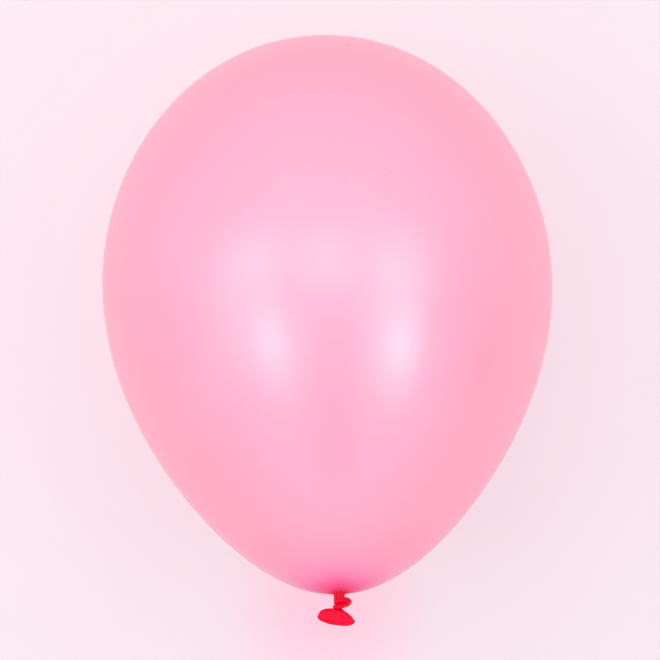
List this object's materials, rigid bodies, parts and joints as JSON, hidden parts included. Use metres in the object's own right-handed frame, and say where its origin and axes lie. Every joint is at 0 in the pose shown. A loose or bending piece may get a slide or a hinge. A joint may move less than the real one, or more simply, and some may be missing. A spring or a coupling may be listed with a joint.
{
  "type": "latex balloon",
  "caption": "Inflated pear-shaped latex balloon, its neck tied off in an overhand knot with a short flat tail below; held or tied by the neck as a party decoration.",
  "frame": {"origin": "where the gathered neck leaves the bottom of the envelope, on the balloon's long axis", "axes": "+Z along the long axis from the neck to the crown; X is the way the flat tail is wide; -Y is the front"},
  "size_m": [0.2808, 0.2808, 0.3783],
  "materials": {
    "inflated_latex": "pearl pink, stretched thin and slightly translucent, soft sheen",
    "gathered_latex": "unstretched, deep pinkish red, satin, finely pleated",
    "rolled_latex": "unstretched, deep pinkish red, satin bead"
  },
  "bodies": {
    "balloon": {"envelope": "inflated_latex"},
    "neck": {"neck": "gathered_latex"},
    "knot": {"knot": "gathered_latex"},
    "tail": {"tail": "gathered_latex", "rolled_lip": "rolled_latex"}
  },
  "joints": [
    {"name": "neck_swing", "type": "hinge", "parent": "balloon", "child": "neck", "pos_m": [0, 0, 0.0004], "axis": [0, 1, 0], "range_deg": [-20, 20], "stiffness_Nm_per_rad": 0.004},
    {"name": "knot_nod", "type": "hinge", "parent": "neck", "child": "knot", "pos_m": [0.0013, 0, -0.0043], "axis": [1, 0, 0], "range_deg": [-20, 20], "stiffness_Nm_per_rad": 0.004},
    {"name": "tail_flap", "type": "hinge", "parent": "knot", "child": "tail", "pos_m": [-0.0007, 0, -0.013], "axis": [1, 0, 0], "range_deg": [-35, 35], "stiffness_Nm_per_rad": 0.002}
  ]
}
